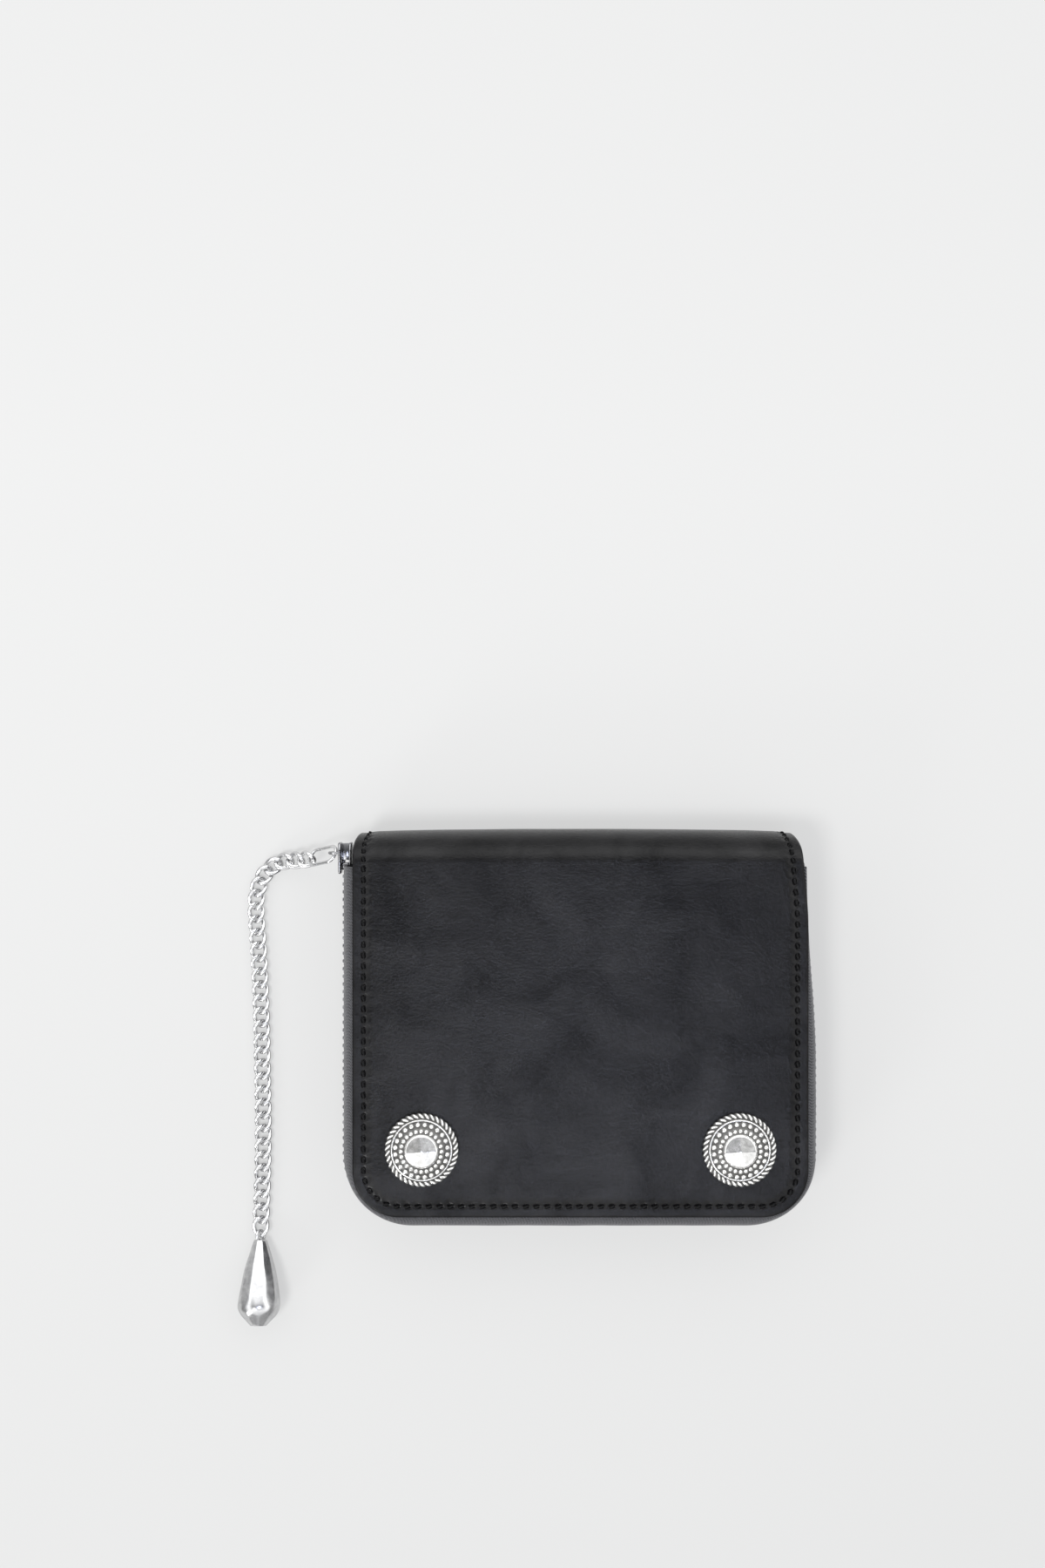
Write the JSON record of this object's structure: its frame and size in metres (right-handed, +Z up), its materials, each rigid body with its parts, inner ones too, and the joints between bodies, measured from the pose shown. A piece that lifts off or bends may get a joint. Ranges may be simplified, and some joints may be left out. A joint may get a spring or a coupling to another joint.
{
  "type": "chain wallet",
  "caption": "Zip-around black leather clamshell wallet with two round conchos and a curb chain with a faceted drop on its zip slider.",
  "frame": {"origin": "centre of the back cover's resting face", "axes": "+X to the right of the closed wallet seen from its front cover, +Y towards the spine, +Z up through the wallet to the front cover"},
  "size_m": [0.1518, 0.1314, 0.0286],
  "materials": {
    "cover_leather": "smooth, semi-gloss",
    "lining_leather": "smooth, satin",
    "board": "matte fibre board",
    "thread": "waxed thread",
    "zip_tape": "woven",
    "zip_metal": "dark polished",
    "steel": "satin",
    "antique_silver": "polished with dark recesses",
    "silver": "polished"
  },
  "bodies": {
    "back": {"back_leather": "cover_leather", "back_board": "board", "back_lining": "lining_leather", "back_stitching": "thread", "back_zip_tape": "zip_tape", "back_zip_teeth": "zip_metal", "back_zip_stops": "zip_metal", "bill_pocket_panel": "lining_leather", "card_pocket_1": "lining_leather", "card_pocket_2": "lining_leather", "card_pocket_3": "lining_leather", "card_pocket_4": "lining_leather"},
    "spine": {"spine_leather": "cover_leather", "spine_lining": "lining_leather", "spine_stitching": "thread"},
    "front": {"front_leather": "cover_leather", "front_board": "board", "front_lining": "lining_leather", "front_stitching": "thread", "front_zip_tape": "zip_tape", "front_zip_teeth": "zip_metal", "front_zip_stops": "zip_metal", "coin_pocket_gusset": "lining_leather", "coin_pocket_face": "lining_leather", "coin_pocket_flap": "lining_leather", "coin_zip_tapes": "zip_tape", "coin_zip_teeth": "zip_metal", "coin_zip_stops": "zip_metal", "left_concho_rosette": "antique_silver", "right_concho_rosette": "antique_silver", "left_concho_screw": "steel", "right_concho_screw": "steel", "left_concho_washer": "steel", "right_concho_washer": "steel"},
    "slider": {"zip_slider_body": "silver", "zip_slider_bail": "silver"},
    "ring": {"pull_ring": "silver"},
    "coin_slider": {"coin_slider_body": "silver", "coin_slider_bail": "silver"},
    "coin_tab": {"coin_pull_tab": "silver"},
    "chain_1": {"chain_links_1": "silver"},
    "chain_2": {"chain_links_2": "silver"},
    "chain_3": {"chain_links_3": "silver"},
    "chain_4": {"chain_links_4": "silver"},
    "chain_5": {"chain_links_5": "silver"},
    "chain_6": {"chain_links_6": "silver"},
    "chain_7": {"chain_links_7": "silver"},
    "chain_8": {"chain_links_8": "silver"},
    "drop": {"drop_pendant": "silver"}
  },
  "joints": [
    {"name": "spine_fold", "type": "hinge", "parent": "back", "child": "spine", "pos_m": [0, 0.04745, 0.00205], "axis": [-1, 0, 0], "range_deg": [0, 90]},
    {"name": "cover_fold", "type": "hinge", "parent": "spine", "child": "front", "pos_m": [0, 0.04745, 0.02195], "axis": [-1, 0, 0], "range_deg": [0, 86]},
    {"name": "slider_travel", "type": "slide", "parent": "back", "child": "slider", "axis": [0, -1, 0], "range_m": [0, 0.065]},
    {"name": "ring_lift", "type": "hinge", "parent": "slider", "child": "ring", "pos_m": [-0.06365, 0.0432, 0.012], "axis": [0, 1, 0], "range_deg": [0, 60]},
    {"name": "chain_bend_1", "type": "hinge", "parent": "ring", "child": "chain_1", "pos_m": [-0.07055, 0.04161, 0.00589], "axis": [0, 0, 1], "range_deg": [-12, 5]},
    {"name": "chain_bend_2", "type": "hinge", "parent": "chain_1", "child": "chain_2", "pos_m": [-0.08261, 0.03839, 0.00127], "axis": [0, 0, -1], "range_deg": [-4, 30]},
    {"name": "chain_bend_3", "type": "hinge", "parent": "chain_2", "child": "chain_3", "pos_m": [-0.08561, 0.02526, 0.0013], "axis": [0, 0, 1], "range_deg": [-24, 6]},
    {"name": "chain_bend_4", "type": "hinge", "parent": "chain_3", "child": "chain_4", "pos_m": [-0.08475, 0.01136, 0.0013], "axis": [0, 0, -1], "range_deg": [-7, 24]},
    {"name": "chain_bend_5", "type": "hinge", "parent": "chain_4", "child": "chain_5", "pos_m": [-0.08424, -0.00255, 0.0013], "axis": [0, 0, 1], "range_deg": [-24, 8]},
    {"name": "chain_bend_6", "type": "hinge", "parent": "chain_5", "child": "chain_6", "pos_m": [-0.08399, -0.01646, 0.0013], "axis": [0, 0, -1], "range_deg": [-10, 24]},
    {"name": "chain_bend_7", "type": "hinge", "parent": "chain_6", "child": "chain_7", "pos_m": [-0.0838, -0.03038, 0.0013], "axis": [0, 0, 1], "range_deg": [-24, 14]},
    {"name": "chain_bend_8", "type": "hinge", "parent": "chain_7", "child": "chain_8", "pos_m": [-0.08401, -0.0443, 0.00129], "axis": [0, 0, -1], "range_deg": [-20, 24]},
    {"name": "drop_swing", "type": "hinge", "parent": "chain_8", "child": "drop", "pos_m": [-0.08447, -0.05819, 0.00181], "axis": [0, 0, 1], "range_deg": [-24, 24]},
    {"name": "coin_slider_travel", "type": "slide", "parent": "front", "child": "coin_slider", "axis": [1, 0, 0], "range_m": [0, 0.074]},
    {"name": "coin_tab_flip", "type": "hinge", "parent": "coin_slider", "child": "coin_tab", "pos_m": [-0.037, 0.021, 0.01495], "axis": [0, 1, 0], "range_deg": [0, 175]}
  ]
}
